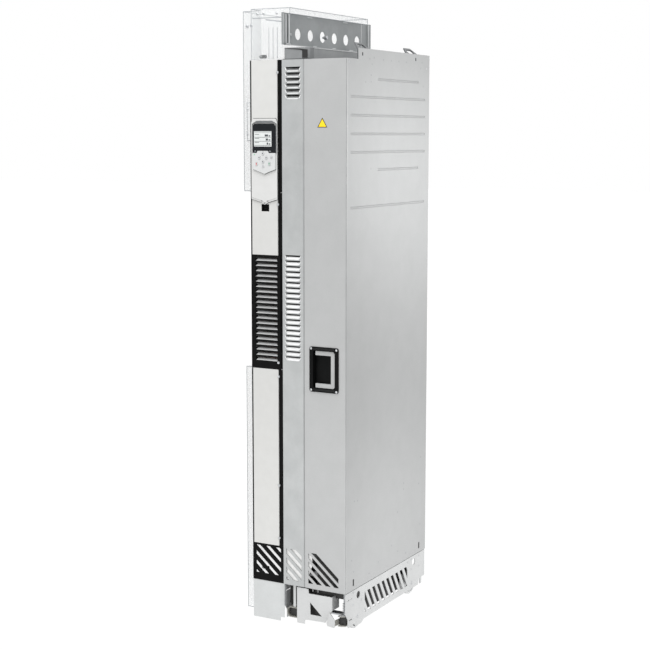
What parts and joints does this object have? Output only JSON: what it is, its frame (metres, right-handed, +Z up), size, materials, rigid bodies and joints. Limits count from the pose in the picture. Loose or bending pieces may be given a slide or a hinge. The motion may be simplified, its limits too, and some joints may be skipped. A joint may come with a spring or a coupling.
{
  "type": "variable frequency drive",
  "caption": "Tall slim free-standing frequency converter module on a wheeled pedestal, with a front control panel, louvred covers, a pull handle and clear side shrouds.",
  "frame": {"origin": "on the floor under the middle of the module", "axes": "+Z up, front towards -Y, right side towards +X"},
  "size_m": [0.35, 0.508, 1.6665],
  "materials": {
    "casing_steel": "satin",
    "galvanised_steel": "satin",
    "dark_zinc_steel": "satin",
    "pedestal_steel": "satin",
    "black_plastic": "matt",
    "white_plastic": "matt",
    "panel_plastic": "matt",
    "display_plastic": "gloss",
    "key_plastic": "matt",
    "red_key_plastic": "matt",
    "green_key_plastic": "matt",
    "grip_plastic": "matt",
    "screw_steel": "polished",
    "clear_polycarbonate": "clear",
    "wheel_plastic": "matt",
    "copper_bar": "satin",
    "heat_sink_aluminium": "satin",
    "capacitor_can": "satin",
    "circuit_board": "satin",
    "fan_plastic": "matt"
  },
  "bodies": {
    "module": {"busbar_1": "copper_bar", "busbar_2": "copper_bar", "busbar_3": "copper_bar", "capacitor_bank": "capacitor_can", "casing_shell": "casing_steel", "control_board": "circuit_board", "control_frame": "black_plastic", "control_panel": "panel_plastic", "cover_screw_1": "screw_steel", "cover_screw_2": "screw_steel", "cover_screw_3": "screw_steel", "cover_screw_4": "screw_steel", "cover_screw_5": "screw_steel", "cover_screw_6": "screw_steel", "display_window": "display_plastic", "divider_wall": "dark_zinc_steel", "fan_housing": "dark_zinc_steel", "floor_pan": "dark_zinc_steel", "front_axle": "screw_steel", "front_grille": "black_plastic", "front_lifting_bracket": "galvanised_steel", "gland_plate": "dark_zinc_steel", "handle_dish": "black_plastic", "heat_sink": "heat_sink_aluminium", "left_leg_bracket": "dark_zinc_steel", "left_side_panel": "casing_steel", "lower_cover": "white_plastic", "lower_shroud": "clear_polycarbonate", "panel_platform": "white_plastic", "pedestal_front_plate": "pedestal_steel", "pedestal_left_side": "pedestal_steel", "pedestal_rear_beam": "dark_zinc_steel", "pedestal_right_side": "pedestal_steel", "rear_axle": "screw_steel", "rear_lifting_bracket": "galvanised_steel", "rear_panel": "casing_steel", "skirt_plate": "galvanised_steel", "top_bracket": "dark_zinc_steel", "top_plate": "dark_zinc_steel", "upper_cover": "white_plastic", "upper_shroud": "clear_polycarbonate", "vent_strip": "galvanised_steel"},
    "key_down": {"key_down": "key_plastic"},
    "key_help": {"key_help": "key_plastic"},
    "key_left": {"key_left": "key_plastic"},
    "key_local_remote": {"key_local_remote": "key_plastic"},
    "key_right": {"key_right": "key_plastic"},
    "key_soft_left": {"key_soft_left": "key_plastic"},
    "key_soft_right": {"key_soft_right": "key_plastic"},
    "key_start": {"key_start": "green_key_plastic"},
    "key_stop": {"key_stop": "red_key_plastic"},
    "key_up": {"key_up": "key_plastic"},
    "front_left_wheel": {"front_left_wheel": "wheel_plastic"},
    "front_right_wheel": {"front_right_wheel": "wheel_plastic"},
    "rear_left_wheel": {"rear_left_wheel": "wheel_plastic"},
    "rear_right_wheel": {"rear_right_wheel": "wheel_plastic"},
    "handle_bail": {"handle_bail": "grip_plastic"},
    "support_leg": {"support_leg": "dark_zinc_steel"},
    "main_fan": {"fan_rotor": "fan_plastic"}
  },
  "joints": [
    {"name": "front_left_wheel_spin", "type": "hinge", "parent": "module", "child": "front_left_wheel", "pos_m": [-0.002, -0.1769, 0.033], "axis": [1, 0, 0], "continuous": true},
    {"name": "front_right_wheel_spin", "type": "hinge", "parent": "module", "child": "front_right_wheel", "pos_m": [0.16, -0.1769, 0.033], "axis": [1, 0, 0], "continuous": true},
    {"name": "rear_left_wheel_spin", "type": "hinge", "parent": "module", "child": "rear_left_wheel", "pos_m": [-0.002, 0.1626, 0.033], "axis": [1, 0, 0], "continuous": true},
    {"name": "rear_right_wheel_spin", "type": "hinge", "parent": "module", "child": "rear_right_wheel", "pos_m": [0.16, 0.1626, 0.033], "axis": [1, 0, 0], "continuous": true},
    {"name": "handle_bail_swing", "type": "hinge", "parent": "module", "child": "handle_bail", "pos_m": [0.0855, -0.24, 0.71875], "axis": [0, 0, -1], "range_deg": [0, 90]},
    {"name": "support_leg_swing", "type": "hinge", "parent": "module", "child": "support_leg", "pos_m": [0.16, -0.223, 0.032], "axis": [0, 0, 1], "range_deg": [0, 90]},
    {"name": "main_fan_spin", "type": "hinge", "parent": "module", "child": "main_fan", "pos_m": [0.078, -0.004, 0.47], "axis": [0, 0, 1], "continuous": true},
    {"name": "key_down_press", "type": "slide", "parent": "module", "child": "key_down", "axis": [0, 1, 0], "range_m": [0, 0.0008], "stiffness_N_per_m": 300},
    {"name": "key_help_press", "type": "slide", "parent": "module", "child": "key_help", "axis": [0, 1, 0], "range_m": [0, 0.0008], "stiffness_N_per_m": 300},
    {"name": "key_left_press", "type": "slide", "parent": "module", "child": "key_left", "axis": [0, 1, 0], "range_m": [0, 0.0008], "stiffness_N_per_m": 300},
    {"name": "key_local_remote_press", "type": "slide", "parent": "module", "child": "key_local_remote", "axis": [0, 1, 0], "range_m": [0, 0.0008], "stiffness_N_per_m": 300},
    {"name": "key_right_press", "type": "slide", "parent": "module", "child": "key_right", "axis": [0, 1, 0], "range_m": [0, 0.0008], "stiffness_N_per_m": 300},
    {"name": "key_soft_left_press", "type": "slide", "parent": "module", "child": "key_soft_left", "axis": [0, 1, 0], "range_m": [0, 0.0008], "stiffness_N_per_m": 300},
    {"name": "key_soft_right_press", "type": "slide", "parent": "module", "child": "key_soft_right", "axis": [0, 1, 0], "range_m": [0, 0.0008], "stiffness_N_per_m": 300},
    {"name": "key_start_press", "type": "slide", "parent": "module", "child": "key_start", "axis": [0, 1, 0], "range_m": [0, 0.0008], "stiffness_N_per_m": 300},
    {"name": "key_stop_press", "type": "slide", "parent": "module", "child": "key_stop", "axis": [0, 1, 0], "range_m": [0, 0.0008], "stiffness_N_per_m": 300},
    {"name": "key_up_press", "type": "slide", "parent": "module", "child": "key_up", "axis": [0, 1, 0], "range_m": [0, 0.0008], "stiffness_N_per_m": 300}
  ]
}
